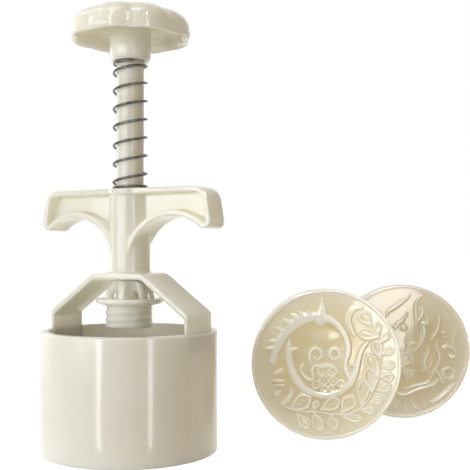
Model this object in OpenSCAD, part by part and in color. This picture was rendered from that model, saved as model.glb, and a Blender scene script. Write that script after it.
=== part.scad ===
// Hand press for moulding mooncakes.
// An open barrel holds the dough. A spring-backed plunger, worked by a scalloped palm knob,
// runs in the guide tube of a T-shaped finger grip and carries screw-on stamps.
// The axis of the press is Z, the barrel stands on Z = 0 and the grip lies along X.
// Two stamps stand on edge beside the press, turned towards the viewer.

/* [Barrel] */
// Outside diameter of the barrel
barrel_d = 82; // [74:1:90]
// Wall of the barrel
barrel_wall = 4; // [3.6:0.1:5]
// Height of the barrel
barrel_h = 55.5; // [45:0.5:65]
// Rounding of the barrel's upper outer edge
rim_round = 1.1; // [0.4:0.1:1.4]
// Chamfer at the mouth of the barrel, inside
mouth_chamfer = 0.6; // [0.2:0.1:1]

/* [Bridge] */
// Distance from the bore to a leg's outer face
leg_wall = 2.4; // [2.1:0.1:2.6]
// How far a leg's inner face stands back from the bore
leg_set = 0.6; // [0.5:0.05:0.9]
// Width of the legs and of the bridge, front to back
bridge_w = 22; // [20:0.5:28]
// Depth of a leg's foot in the barrel's rim
foot_depth = 8; // [5:0.5:12]
// Height above the rim at which the legs bend inwards
leg_rise = 7.6; // [5:0.2:9]
// Height of the bridge's top above the rim
bridge_rise = 26.5; // [25:0.5:34]
// Length of the bridge's flat top
bridge_flat = 27.2; // [24:0.2:30]
// Thickness of the bridge's flat top
bridge_t = 3; // [2.4:0.1:4]
// Thickness of the sloping bands
slope_t = 2.7; // [2:0.1:3.4]
// Rounding of the bends, outside
bend_round = 7; // [4:0.5:9]
// Size of the snap bead on a foot
snap_bead = 0.45; // [0.3:0.05:0.5]

/* [Guide tube] */
// Wall of the guide tube
tube_wall = 3; // [2.2:0.1:3.6]
// Length of the guide tube above the bridge
tube_h = 39; // [38:1:50]
// Fillet at the foot of the guide tube
tube_fillet = 1.4; // [0.6:0.1:1.4]

/* [Finger grip] */
// Length of the grip from tip to tip
grip_l = 94; // [90:1:104]
// Depth of the grip in the middle, front to back
grip_depth = 17; // [16:0.5:18]
// Depth of the grip at its tips
tip_depth = 13; // [11:0.5:16]
// Height of the grip at its tips
grip_h = 19; // [17:0.5:22]
// Lean of each tip, from top to bottom
tip_lean = 3.2; // [2:0.2:6]
// Rounding of the grip's upper corners
shoulder_round = 7.5; // [5:0.5:9]
// Rounding of the grip's lower corners
tip_round = 3.6; // [3.2:0.1:4.4]
// Flange round the edge of the grip
flange_t = 2.5; // [1.8:0.1:3]
// Web in the middle of the grip
web_t = 2.6; // [1.8:0.1:4]
// Radius of the hollow for a finger
finger_r = 22.8; // [21:0.2:23.4]
// Distance from the axis at which the hollow runs down the tube
finger_root = 4.2; // [3.2:0.1:4.2]
// Material above the hollow
finger_top = 13; // [12:0.5:14]
// Rim of the round seat that carries the spring, beyond the tube
seat_lip = 0.9; // [0.5:0.1:1.5]

/* [Plunger] */
// Diameter of the plunger rod
rod_d = 12.8; // [11.6:0.2:14]
// Running clearance between rod and tube, on the radius
run_gap = 0.1; // [0.04:0.02:0.1]
// Gap between plunger and bridge at rest
stop_gap = 0.3; // [0.2:0.05:0.4]
// Diameter of the rod's lower tenon
tenon_d = 8; // [7:0.2:8.6]
// Length of the tenon
tenon_l = 11; // [8:0.5:12]
// Clearance of parts that are fixed to each other, on the radius
fixed_gap = 0.03; // [0.02:0.01:0.05]

/* [Spring] */
// Length of the spring at rest, from seat to seat
spring_l = 60; // [54:1:70]
// Diameter of the spring's wire
wire_d = 1.15; // [0.9:0.05:1.3]
// Gap between the rod and the spring's inside
spring_play = 0.65; // [0.4:0.05:0.9]
// Number of open turns
open_turns = 6.5; // [5:0.5:8]
// Number of closed turns at each end
end_turns = 0.9; // [0.8:0.05:1.2]
// Gap between neighbouring wires in the closed turns
end_gap = 0.6; // [0.5:0.05:0.8]
// Gap between the spring's ends and their seats
seat_gap = 0.05; // [0.02:0.01:0.1]
// Turn of the spring's lower end about the axis
spring_turn = 209; // [0:1:359]

/* [Knob] */
// Diameter of the knob over its lobes
knob_d = 57.6; // [50:0.5:66]
// Number of lobes
lobes = 8; // [6:1:10]
// Depth of the grooves between the lobes
lobe_depth = 1.9; // [1:0.1:2.4]
// Height of the knob above its lower edge
knob_h = 15.5; // [13:0.5:18]
// Wall of the knob
knob_wall = 2.6; // [2:0.1:3]
// Diameter of the boss below the knob
boss_d = 19.3; // [18.6:0.1:21]
// Length of the boss below the knob's lower edge
boss_drop = 9.9; // [8:0.1:12]
// Height over which the boss draws in at its lower end
boss_ease = 4.5; // [3:0.5:5]
// How much the boss draws in there, on the radius
boss_draw = 1.5; // [0.6:0.1:1.8]
// Hollow fillet between the boss and the dome
boss_fillet = 4; // [2:0.5:5]
// Rounding of the knob's lower edge
knob_round = 1.2; // [0.6:0.1:1.4]
// Depth of the socket that takes the rod
knob_socket = 15; // [12:0.5:16]
// Turn of the lobes about the axis
lobe_turn = 13; // [0:1:44]

/* [Stamp coupling] */
// Diameter of the coupling's flange
collar_d = 31.1; // [29:0.1:33]
// Thickness of the flange at its edge
collar_t = 2.1; // [1.6:0.1:2.4]
// Height of the cone below the flange
collar_cone = 1.6; // [1.4:0.1:2.4]
// Height of the ribbed dome above the flange
dome_h = 8.5; // [7:0.1:10]
// Diameter of the ribbed dome at its foot
dome_d = 22.8; // [21:0.2:25]
// Number of ribs in the dome
dome_ribs = 7; // [5:1:8]
// Thickness of each rib
rib_t = 2.2; // [1.6:0.1:2.6]
// Height of the open arch between a rib's foot and the hub
arch_h = 3.6; // [2:0.2:5]
// Width of the arch
arch_w = 2.9; // [1.5:0.1:3.2]
// Turn of the ribs about the axis
rib_turn = 28; // [0:1:71]
// Diameter of the screw spigot over its ridges
spigot_d = 22.6; // [21:0.2:23.4]
// Length of the screw spigot
spigot_l = 9.7; // [9:0.1:11]
// Number of ridges on the spigot
ridges = 3; // [2:1:4]
// Depth of the grooves between the ridges
ridge_depth = 0.7; // [0.4:0.1:0.9]
// Diameter of the hollow in the spigot
spigot_bore = 15; // [13:0.5:16]
// Floor between the spigot's hollow and the rod's tenon
spigot_floor = 3; // [2.4:0.1:4]

/* [Coupling screw] */
// Diameter of the screw's shank
screw_d = 3.2; // [2.6:0.1:3.6]
// Diameter of the screw's head
screw_head_d = 6.6; // [5.6:0.1:7.4]
// Height of the screw's head
screw_head_h = 2.2; // [1.8:0.1:2.6]
// Depth of the shank in the rod
screw_bite = 10; // [7:0.5:12]

/* [Stamps] */
// Gap between a stamp and the barrel's bore, on the radius
stamp_play = 0.3; // [0.2:0.05:0.5]
// Thickness of a stamp's face plate
face_t = 3; // [2.4:0.1:4]
// Height of the rim round the face
face_rim_h = 1.3; // [0.8:0.1:1.6]
// Width of the rim round the face
face_rim_w = 1.7; // [1.2:0.1:2.4]
// Height of the raised pattern
relief_h = 1.2; // [0.7:0.1:1.3]
// Wall of the skirt behind the face
skirt_wall = 2; // [1.6:0.1:2.6]
// Play of the coupling's spigot in a stamp's socket, on the radius
socket_play = 0.2; // [0.1:0.05:0.3]
// Wall of the socket
socket_wall = 3.4; // [2.6:0.1:3.6]
// Number of ribs between socket and skirt
back_ribs = 6; // [4:1:8]
// Thickness of the ribs behind the face
back_rib_t = 1.8; // [1.2:0.1:2.4]
// Turn of the row in which the stamps stand
row_turn = 28; // [20:1:40]
// Gap between the barrel and the first stamp, along the row
row_gap = 16.3; // [10:0.1:30]
// Distance of the first stamp's face behind the press axis
first_back = 20; // [10:1:30]
// Step from the first stamp to the second, along the row
second_step = 48.3; // [48:0.1:60]
// Clear gap from the back of the first stamp to the face of the second
second_gap = 41.9; // [30:0.1:60]

/* [Hidden] */
$fn = 96;
eps = 0.01;
over = 1;                       // length by which a cutter passes a face

ivory = [0.92, 0.89, 0.79];
pale_ivory = [0.94, 0.92, 0.85];
steel = [0.33, 0.32, 0.30];

// Barrel and legs
bore_r = barrel_d / 2 - barrel_wall;
rim_z = barrel_h;
foot_z = rim_z - foot_depth;
leg_r = bore_r + leg_wall;
snap_rise = 2.5;                // height of the snap bead above the foot's end
snap_z = foot_z + snap_rise;

// Bridge and guide tube
bridge_top = rim_z + bridge_rise;
bridge_under = bridge_top - bridge_t;
bend_z = rim_z + leg_rise;
slope = atan((bridge_top - bend_z) / (leg_r - bridge_flat / 2));
inner_drop = slope_t / cos(slope);
inner_flat = bridge_flat / 2 - (inner_drop - bridge_t) / tan(slope);
tube_bore_r = rod_d / 2 + run_gap;
tube_r = tube_bore_r + tube_wall;
grip_top = bridge_top + tube_h;
finger_x = finger_root + finger_r;

// Plunger
hub_r = rod_d / 2;
rib_bite = 1;                   // depth of a rib's foot and root in the coupling
hub_lead = 0.2;                 // how far the hub ends above the ribs
coupling_top = bridge_under - stop_gap;
collar_z = coupling_top - dome_h;
spigot_top = collar_z - collar_t - collar_cone;
spigot_bottom = spigot_top - spigot_l;
tenon_z = coupling_top - tenon_l;
floor_z = tenon_z - spigot_floor;
boss_z = grip_top + spring_l;
knob_z = boss_z + boss_drop;
rod_top = boss_z + knob_socket;
spring_r = rod_d / 2 + spring_play + wire_d / 2;

// Stamps
stamp_r = bore_r - stamp_play;
socket_r = spigot_d / 2 + socket_play;
seat_play = 0.1;                // gap between a spigot's end and the socket's floor
socket_depth = spigot_l + seat_play;
stamp_t = face_t + socket_depth;
first_right = barrel_d / 2 + row_gap + stamp_r;
field_r = stamp_r - face_rim_w;

// ---------- shapes used more than once ----------

// Points of a polygon whose corners [x, y, radius] are rounded by arcs
function unit(v) = v / norm(v);
function corner_arc(a, b, c, steps = 8) =
    let (u = unit([a.x - b.x, a.y - b.y]),
         v = unit([c.x - b.x, c.y - b.y]),
         half = acos(u * v) / 2,
         mid = unit(u + v),
         centre = [b.x, b.y] + mid * b.z / sin(half),
         from = atan2(-mid.y, -mid.x),
         sweep = 90 - half,
         side = sign(u.x * v.y - u.y * v.x))
    b.z <= 0 ? [[b.x, b.y]] :
    [for (i = [0 : steps])
        let (t = from + side * sweep * (1 - 2 * i / steps))
        centre + b.z * [cos(t), sin(t)]];
function rounded(corners) =
    let (n = len(corners))
    [for (i = [0 : n - 1])
        each corner_arc(corners[(i + n - 1) % n], corners[i], corners[(i + 1) % n])];

// Flat ring
module ring2d(r_out, r_in) {
    difference() {
        circle(r = r_out);
        circle(r = r_in);
    }
}

// Flat arc that tapers from width w0 to w1, with a round or pointed end
module taper_arc(centre, r, a0, a1, w0, w1, steps = 14) {
    function width(t) = w0 + (w1 - w0) * t;
    polygon([
        for (i = [0 : steps])
            let (t = i / steps, a = a0 + (a1 - a0) * t)
            centre + (r + width(t) / 2) * [cos(a), sin(a)],
        for (i = [0 : steps])
            let (t = 1 - i / steps, a = a0 + (a1 - a0) * t)
            centre + (r - width(t) / 2) * [cos(a), sin(a)]
    ]);
}

// Flat leaf or flame: pointed at its root, fullest past the middle
module leaf(at, turn, l, w, bow = 0, steps = 9) {
    function half(t) = w / 2 * sin(180 * pow(t, 0.8));
    function mid(t) = bow * sin(180 * t);
    translate(at)
    rotate(turn)
    polygon([
        for (i = [0 : steps]) let (t = i / steps) [l * t, mid(t) + half(t)],
        for (i = [1 : steps - 1]) let (t = 1 - i / steps) [l * t, mid(t) - half(t)]
    ]);
}

// ---------- barrel ----------

module barrel() {
    outer_r = barrel_d / 2;
    color(pale_ivory)
    difference() {
        rotate_extrude()
            polygon([
                [bore_r, 0],
                [outer_r - mouth_chamfer / 2, 0],
                [outer_r, mouth_chamfer / 2],
                for (i = [0 : 6])
                    [outer_r - rim_round + rim_round * cos(15 * i),
                     rim_z - rim_round + rim_round * sin(15 * i)],
                [bore_r + mouth_chamfer, rim_z],
                [bore_r, rim_z - mouth_chamfer]
            ]);
        foot_pockets();
    }
}

// Room for the feet, open to the bore, with a groove for the snap bead
module foot_pockets() {
    intersection() {
        union() {
            translate([0, 0, foot_z])
                difference() {
                    cylinder(r = leg_r + fixed_gap, h = foot_depth + over);
                    translate([0, 0, -over])
                        cylinder(r = bore_r - over, h = foot_depth + 3 * over);
                }
            rotate_extrude()
                translate([leg_r + fixed_gap, snap_z])
                circle(r = snap_bead + 2 * fixed_gap, $fn = 24);
        }
        cube([2 * barrel_d, bridge_w + 2 * fixed_gap, 4 * barrel_h], center = true);
    }
}

// ---------- handle frame: legs, bridge, guide tube and finger grip ----------

module handle_frame() {
    color(ivory)
    difference() {
        union() {
            bridge();
            translate([0, 0, bridge_under])
                cylinder(r = tube_r, h = grip_top - bridge_under);
            translate([0, 0, bridge_top - eps])
                tube_foot();
            grip();
        }
        translate([0, 0, bridge_under - over])
            cylinder(r = tube_bore_r, h = grip_top - bridge_under + 2 * over);
    }
}

// Both legs and the sloping bands, seen from the front
module bridge_outline(r, flat, top, bend, low, round) {
    polygon(rounded([
        [-r, low, 0], [r, low, 0],
        [r, bend, round], [flat, top, round],
        [-flat, top, round], [-r, bend, round]
    ]));
}

module bridge() {
    difference() {
        intersection() {
            rotate([90, 0, 0])
                linear_extrude(height = bridge_w, center = true)
                bridge_outline(leg_r, bridge_flat / 2, bridge_top, bend_z, foot_z, bend_round);
            translate([0, 0, foot_z - over])
                cylinder(r = leg_r, h = bridge_top - foot_z + 2 * over);
        }
        intersection() {
            rotate([90, 0, 0])
                linear_extrude(height = bridge_w + 2 * over, center = true)
                bridge_outline(leg_r, inner_flat, bridge_under, bend_z - inner_drop,
                               foot_z - over, bend_round - slope_t);
            translate([0, 0, foot_z - 2 * over])
                cylinder(r = bore_r + leg_set, h = bridge_top - foot_z + 3 * over);
        }
    }
    snap_beads();
}

// Half-round bead on the outer face of each foot
module snap_beads() {
    intersection() {
        rotate_extrude()
            translate([leg_r, snap_z])
            intersection() {
                circle(r = snap_bead, $fn = 24);
                translate([-leg_wall / 2, -snap_bead])
                    square([leg_wall, 2 * snap_bead]);
            }
        cube([2 * barrel_d, bridge_w - 2, 4 * barrel_h], center = true);
    }
}

// Hollow fillet round the foot of the guide tube
module tube_foot() {
    rotate_extrude()
        translate([tube_r - eps, 0])
        difference() {
            square([tube_fillet, tube_fillet]);
            translate([tube_fillet, tube_fillet])
                circle(r = tube_fillet, $fn = 32);
        }
}

// One wing of the grip, seen from the front and drawn smaller by inset
module wing_outline(inset = 0) {
    low = grip_top - grip_h + inset;
    high = grip_top - inset;
    lean = atan(tip_lean / grip_h);
    edge = grip_l / 2 + tip_round * (tan(lean) + 1 / cos(lean) - 1) - inset / cos(lean);
    tip_low = edge - inset * tan(lean);
    tip_high = edge - (grip_h - inset) * tan(lean);
    root = grip_top - finger_top - finger_r;
    difference() {
        polygon(rounded([
            [0, high, 0],
            [tip_high, high, shoulder_round - inset],
            [tip_low, low, tip_round - inset],
            [finger_x, low, 0],
            [finger_x, root, 0],
            [0, root, 0]
        ]));
        translate([finger_x, root])
            circle(r = finger_r + inset);
    }
}

// One wing of the grip, seen from above: it narrows towards its tip
module wing_plan() {
    reach = grip_l / 2 + over;
    polygon([
        [-over, -grip_depth / 2], [0, -grip_depth / 2], [reach, -tip_depth / 2],
        [reach, tip_depth / 2], [0, grip_depth / 2], [-over, grip_depth / 2]
    ]);
}

// Grip with a flange round its edge, a web in the middle and a seat for the spring
module grip() {
    for (side = [0, 1])
        mirror([side, 0, 0])
        intersection() {
            rotate([90, 0, 0])
                difference() {
                    linear_extrude(height = grip_depth, center = true)
                        wing_outline();
                    for (face = [-1, 1])
                        translate([0, 0, face * (grip_depth + web_t) / 2])
                        linear_extrude(height = grip_depth, center = true)
                        wing_outline(flange_t);
                }
            linear_extrude(height = grip_top + over)
                wing_plan();
        }
    translate([0, 0, grip_top - flange_t])
        cylinder(r = tube_r + seat_lip, h = flange_t);
}

// ---------- knob ----------

crown_start = 0.3;              // share of the height at which the crown begins to curve in
crown_bend = 2.6;               // above 2 the crown is fuller than an ellipse
crown_root = 2.3;               // the same for the sides of the crown
side_draft = 0.05;              // share by which the sides narrow over the whole height
groove_shape = 1.6;             // above 1 the grooves are narrow and the lobes broad
groove_end = 0.62;              // share of the radius inside which the grooves run out

// Radius of the knob at height share t (0 low edge, 1 top) and angle a
function dome_r(t) =
    let (k = max(0, t - crown_start) / (1 - crown_start))
    knob_d / 2 * (1 - side_draft * t) * pow(1 - pow(k, crown_bend), 1 / crown_root);
function groove(a) = 1 - abs(cos(lobes / 2 * (a - lobe_turn)));
function knob_r(a, t, inset) =
    let (fade = min(1, dome_r(t) / (groove_end * knob_d / 2)))
    max(0.2, dome_r(t) - inset - lobe_depth * pow(groove(a), groove_shape) * fade);
// Inward step of a rounded lower edge at height z above it
function edge_step(z, round) =
    z >= round ? 0 : round - sqrt(round * round - (round - z) * (round - z));

// Lobed dome, closed below, as rings of points; a round above 0 eases its lower edge,
// and shift turns the points by a part of their spacing
module lobed_dome(height, inset, foot, round = 0, shift = 0) {
    per_lobe = 12;
    around = lobes * per_lobe;
    low = round / height;
    levels = concat(round > 0 ? [0, low / 4, low] : [0],
                    [crown_start, 0.46, 0.61, 0.74, 0.85, 0.93, 0.98, 0.998]);
    rings = len(levels);
    points = [
        for (t = levels)
            for (i = [0 : around - 1])
                let (a = 360 * (i + shift) / around,
                     z = (height - foot) * t,
                     r = knob_r(a, t, inset + edge_step(z, round)))
                [r * cos(a), r * sin(a), foot + z],
        [0, 0, foot],
        [0, 0, height]
    ];
    faces = [
        for (k = [0 : rings - 2])
            for (i = [0 : around - 1])
                let (j = (i + 1) % around, p = k * around, q = p + around)
                each [[p + i, q + j, p + j], [p + i, q + i, q + j]],
        for (i = [0 : around - 1])
            let (j = (i + 1) % around)
            each [[rings * around, i, j],
                  [rings * around + 1, (rings - 1) * around + j, (rings - 1) * around + i]]
    ];
    polyhedron(points, faces);
}

module knob() {
    color(ivory)
    translate([0, 0, knob_z])
    difference() {
        union() {
            difference() {
                lobed_dome(knob_h, 0, 0, knob_round);
                lobed_dome(knob_h - knob_wall, knob_wall, -over, shift = 0.5);
            }
            knob_boss();
        }
        translate([0, 0, -boss_drop - over])
            cylinder(r = rod_d / 2 + fixed_gap, h = knob_socket + over);
    }
}

// Boss that draws in towards the spring and spreads into the dome
module knob_boss() {
    boss_r = boss_d / 2;
    boss_top = knob_h - 0.8 * knob_wall;    // ends inside the dome's wall
    spread_z = knob_h - knob_wall - boss_fillet;
    rotate_extrude()
        polygon([
            [0, -boss_drop],
            for (a = [0 : 15 : 90])
                [boss_r - boss_draw + boss_draw * sin(a), boss_ease * (1 - cos(a)) - boss_drop],
            for (a = [0 : 15 : 75])
                [boss_r + boss_fillet * (1 - cos(a)), spread_z + boss_fillet * sin(a)],
            [boss_r + boss_fillet, boss_top],
            [0, boss_top]
        ]);
}

// ---------- plunger rod ----------

module plunger_rod() {
    color(pale_ivory)
    difference() {
        union() {
            translate([0, 0, coupling_top])
                cylinder(r = rod_d / 2, h = rod_top - coupling_top);
            translate([0, 0, tenon_z])
                cylinder(r = tenon_d / 2, h = tenon_l + eps);
        }
        translate([0, 0, tenon_z - over])
            cylinder(r = screw_d / 2 + fixed_gap, h = screw_bite + 2 * over);
    }
}

// ---------- spring ----------

end_pitch = wire_d + end_gap;
spring_low = grip_top + seat_gap + wire_d / 2;
open_rise = spring_l - 2 * seat_gap - wire_d - 2 * end_turns * end_pitch;
open_pitch = open_rise / open_turns;
turns = open_turns + 2 * end_turns;
ease = 0.25;                    // turns over which the pitch changes
curl_rings = 8;

// Rate of climb, in millimetres per turn, after t turns
function climb(t) =
    let (edge = min(t - end_turns, turns - end_turns - t),
         k = max(0, min(1, edge / ease + 0.5)))
    end_pitch + (open_pitch - end_pitch) * k;
// Height after n rings, by adding up the climb
function heights(n, z = 0, k = 0) = k == n ? [z] :
    concat([z], heights(n, z + climb((k + 0.5) / curl_rings) / curl_rings, k + 1));

module spring() {
    n = round(turns * curl_rings);
    raw = heights(n);
    span = open_rise + 2 * end_turns * end_pitch;
    z = [for (h = raw) spring_low + h * span / raw[n]];
    function turn(i) = spring_turn + 360 * i / curl_rings;
    function along(i) = [-sin(turn(i)), cos(turn(i)), 0] * wire_d;
    coil = [for (i = [0 : n]) [spring_r * cos(turn(i)), spring_r * sin(turn(i)), z[i]]];
    path = concat([coil[0] - along(0)], coil, [coil[n] + along(n)]);
    gaps = [for (i = [0 : n])
        min([for (j = [i + curl_rings - 1 : min(n, i + curl_rings + 1)])
            norm(coil[j] - coil[i]), 1000])];
    echo(least_gap_of_spring_to_itself_mm = min(gaps) - wire_d);
    color(steel)
        wire(path, wire_d / 2);
}

// Six-sided tube along a path; its first and last stretches are straight
module wire(path, r) {
    sides = 6;
    n = len(path);
    function along(i) = i == 0 ? unit(path[1] - path[0])
        : i == n - 1 ? unit(path[n - 1] - path[n - 2])
        : unit(unit(path[i + 1] - path[i]) + unit(path[i] - path[i - 1]));
    points = [
        for (i = [0 : n - 1])
            let (t = along(i),
                 side = unit(cross([0, 0, 1], t)),
                 up = cross(t, side))
            for (k = [0 : sides - 1])
                path[i] + r * (cos(360 / sides * k) * side + sin(360 / sides * k) * up),
        path[0],
        path[n - 1]
    ];
    faces = [
        for (i = [0 : n - 2])
            for (k = [0 : sides - 1])
                let (m = (k + 1) % sides, p = i * sides, q = p + sides)
                each [[p + k, q + m, p + m], [p + k, q + k, q + m]],
        for (k = [0 : sides - 1])
            let (m = (k + 1) % sides, e = (n - 1) * sides)
            each [[n * sides, k, m], [n * sides + 1, e + m, e + k]]
    ];
    polyhedron(points, faces);
}

// ---------- coupling ----------

// Ridged spigot, cone, flange and hub turned as one, with the dome's ribs on the flange
module coupling() {
    r = spigot_d / 2;
    root_r = r - ridge_depth;
    pitch = spigot_l / ridges;
    flank = pitch / 4;
    socket_wall_r = tenon_d / 2 + fixed_gap;
    hole_r = screw_d / 2 + fixed_gap;
    color(ivory)
    union() {
        rotate_extrude()
            polygon([
                [spigot_bore / 2, spigot_bottom],
                for (z = [spigot_bottom : pitch : spigot_top - pitch / 2])
                    each [
                        [root_r, z],
                        [r, z + flank],
                        [r, z + pitch - flank]
                    ],
                [root_r, spigot_top],
                [collar_d / 2, collar_z - collar_t],
                [collar_d / 2, collar_z],
                [hub_r, collar_z],
                [hub_r, coupling_top],
                [socket_wall_r, coupling_top],
                [socket_wall_r, tenon_z],
                [hole_r, tenon_z],
                [hole_r, floor_z],
                [spigot_bore / 2, floor_z]
            ]);
        ribbed_dome();
    }
}

// Arched ribs: they spring from the flange, lean on the hub and stay just below its end
module ribbed_dome() {
    foot_r = dome_d / 2;
    root = hub_r - rib_bite;
    rib_h = dome_h - hub_lead;
    translate([0, 0, collar_z])
    rotate([0, 0, rib_turn])
    for (i = [0 : dome_ribs - 1])
        rotate([0, 0, 360 * i / dome_ribs])
        rotate([90, 0, 0])
        linear_extrude(height = rib_t, center = true)
        polygon([
            [foot_r, -rib_bite],
            for (a = [0 : 9 : 90])
                [root + (foot_r - root) * cos(a), rib_h * sin(a)],
            [root, arch_h],
            for (a = [90 : -15 : 0])
                [hub_r + arch_w * cos(a), arch_h * sin(a)],
            [hub_r + arch_w, -rib_bite]
        ]);
}

// ---------- coupling screw ----------

module coupling_screw() {
    recess_l = 0.6 * screw_head_d;
    recess_w = 0.9;
    recess_depth = 1.2;
    head_z = floor_z - screw_head_h;
    color("silver")
    difference() {
        rotate_extrude()
            polygon([
                [0, head_z],
                [screw_head_d / 2, head_z],
                [screw_head_d / 2, floor_z],
                [screw_d / 2, floor_z],
                [screw_d / 2, tenon_z + screw_bite],
                [0, tenon_z + screw_bite]
            ]);
        for (turn = [0, 90])
            translate([0, 0, head_z])
            rotate([0, 0, turn])
            cube([recess_l, recess_w, 2 * recess_depth], center = true);
    }
}

// ---------- stamps ----------

// Cup-shaped stamp: face towards +Z, socket and skirt behind it
module stamp_body() {
    difference() {
        union() {
            translate([0, 0, -stamp_t])
                cylinder(r = stamp_r, h = stamp_t);
            linear_extrude(height = face_rim_h)
                ring2d(stamp_r, field_r);
        }
        translate([0, 0, -stamp_t - over])
            difference() {
                cylinder(r = stamp_r - skirt_wall, h = socket_depth + over);
                cylinder(r = socket_r + socket_wall, h = socket_depth + 2 * over);
                for (i = [0 : back_ribs - 1])
                    rotate([0, 0, 360 * i / back_ribs])
                    translate([0, -back_rib_t / 2, 0])
                    cube([stamp_r, back_rib_t, socket_depth + 2 * over]);
            }
        translate([0, 0, -stamp_t - over])
            cylinder(r = socket_r, h = socket_depth + over);
    }
}

// Stands a stamp on its edge in the row beside the press
module in_row(right, back) {
    rotate([0, 0, row_turn])
    translate([right, back, stamp_r])
    rotate([90, 0, 0])
    children();
}

// Carp curled round on itself inside a spray of leaves
module carp_pattern() {
    scale_r = 0.075 * field_r;
    body_r = 0.47 * field_r;
    // back of the fish, from the tail over the top and down to the gills
    taper_arc([-0.07, 0.1] * field_r, body_r, 62, 200, 0.1 * field_r, 0.16 * field_r);
    taper_arc([-0.07, 0.1] * field_r, body_r, 62, -40, 0.1 * field_r, 0.07 * field_r);
    // belly
    taper_arc([0.02, -0.02] * field_r, 0.42 * field_r, 150, 320, 0.02 * field_r, 0.13 * field_r);
    // tail
    leaf([-0.02, 0.5] * field_r, 97, 0.42 * field_r, 0.16 * field_r, 0.03 * field_r);
    // saw-toothed fin along the back
    for (i = [0 : 8])
        let (a = 100 + 12 * i)
        leaf([-0.07, 0.1] * field_r + body_r * [cos(a), sin(a)], a + 16,
             0.22 * field_r, 0.13 * field_r);
    // fin rays below the gills
    for (i = [0 : 3])
        let (a = 188 + 13 * i)
        leaf(0.58 * field_r * [cos(a), sin(a)], a, 0.2 * field_r, 0.08 * field_r);
    // eye and barbel
    translate([0.12, 0.15] * field_r)
        ring2d(0.09 * field_r, 0.045 * field_r);
    taper_arc([-0.17, 0.12] * field_r, 0.08 * field_r, -60, 230,
              0.05 * field_r, 0.03 * field_r);
    // scales in staggered rows
    for (row = [0 : 2])
        for (i = [0 : 3 - row])
            taper_arc([-0.12 + 0.13 * i + 0.065 * row, -0.06 - 0.1 * row] * field_r,
                      scale_r, 190, 350, 0.03 * field_r, 0.03 * field_r, 8);
    leaf_spray();
}

// Stem that bends round the lower right, with a pair of leaves at each step
module leaf_spray() {
    steps = 9;
    stem_r = 0.74 * field_r;
    taper_arc([0, 0], stem_r, -112, 38, 0.03 * field_r, 0.03 * field_r, 28);
    for (i = [0 : steps - 1])
        let (a = -112 + 17.5 * i, root = stem_r * [cos(a), sin(a)], grow = 1 - 0.03 * i) {
            leaf(root, a + 48, 0.22 * field_r, 0.105 * field_r * grow);
            leaf(root, a + 140, 0.24 * field_r, 0.13 * field_r * grow);
        }
}

// Dragon's head in profile: brow, snout, jaws, horns and a mane of flames
module dragon_pattern() {
    // horns
    taper_arc([-0.42, 0.42] * field_r, 0.5 * field_r, -28, 42, 0.12 * field_r, 0.03 * field_r);
    taper_arc([-0.2, 0.36] * field_r, 0.52 * field_r, -24, 36, 0.11 * field_r, 0.03 * field_r);
    // brow and eye
    taper_arc([-0.02, 0.22] * field_r, 0.19 * field_r, 20, 215, 0.09 * field_r, 0.04 * field_r);
    translate([0, 0.22] * field_r)
        circle(r = 0.07 * field_r);
    // snout with its nostril, upper jaw and lower jaw
    taper_arc([-0.34, -0.06] * field_r, 0.2 * field_r, 60, 260, 0.15 * field_r, 0.11 * field_r);
    taper_arc([-0.36, 0.16] * field_r, 0.09 * field_r, -60, 220, 0.06 * field_r, 0.04 * field_r);
    taper_arc([-0.05, 0.22] * field_r, 0.5 * field_r, 238, 300, 0.09 * field_r, 0.06 * field_r);
    taper_arc([-0.08, 0.02] * field_r, 0.5 * field_r, 228, 318, 0.06 * field_r, 0.12 * field_r);
    // teeth
    for (i = [0 : 4])
        let (a = 244 + 11 * i)
        leaf([-0.05, 0.2] * field_r + 0.47 * field_r * [cos(a), sin(a)], a,
             0.12 * field_r, 0.07 * field_r);
    // cheek
    taper_arc([0.13, 0.0] * field_r, 0.1 * field_r, -100, 170, 0.05 * field_r, 0.05 * field_r);
    // whiskers
    taper_arc([-0.5, 0.38] * field_r, 0.22 * field_r, 120, 300, 0.03 * field_r, 0.05 * field_r);
    taper_arc([-0.5, -0.42] * field_r, 0.26 * field_r, 60, 200, 0.05 * field_r, 0.03 * field_r);
    // mane of flames behind the head and under the jaw
    for (i = [0 : 6])
        let (a = -36 + 17 * i)
        leaf([0.1, 0.02] * field_r + 0.3 * field_r * [cos(a), sin(a)], a + 14,
             0.46 * field_r, 0.12 * field_r, 0.03 * field_r);
    for (i = [0 : 5])
        let (a = 222 + 16 * i)
        leaf(0.66 * field_r * [cos(a), sin(a)], a - 12, 0.24 * field_r, 0.1 * field_r);
    // cloud curls at the edge
    for (a = [-20, 4, 28])
        taper_arc(0.82 * field_r * [cos(a), sin(a)], 0.075 * field_r, a - 120, a + 130,
                  0.05 * field_r, 0.03 * field_r);
}

module carp_stamp() {
    color(ivory)
    in_row(first_right, first_back)
    union() {
        stamp_body();
        translate([0, 0, -eps])
            linear_extrude(height = relief_h + eps)
            carp_pattern();
    }
}

module dragon_stamp() {
    color(ivory)
    in_row(first_right + second_step, first_back + stamp_t + second_gap + face_rim_h)
    union() {
        stamp_body();
        translate([0, 0, -eps])
            linear_extrude(height = relief_h + eps)
            dragon_pattern();
    }
}

barrel();
handle_frame();
knob();
plunger_rod();
spring();
coupling();
coupling_screw();
carp_stamp();
dragon_stamp();
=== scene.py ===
"""Looks of the mooncake press: moulded ivory plastic, a dark steel spring and two carved stamps.

Every piece is built in millimetres and stands for one CAD node. Materials, lamps and camera are in metres.
"""
import math

import bmesh
import bpy
import numpy as np
from mathutils import Matrix, Vector

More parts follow.
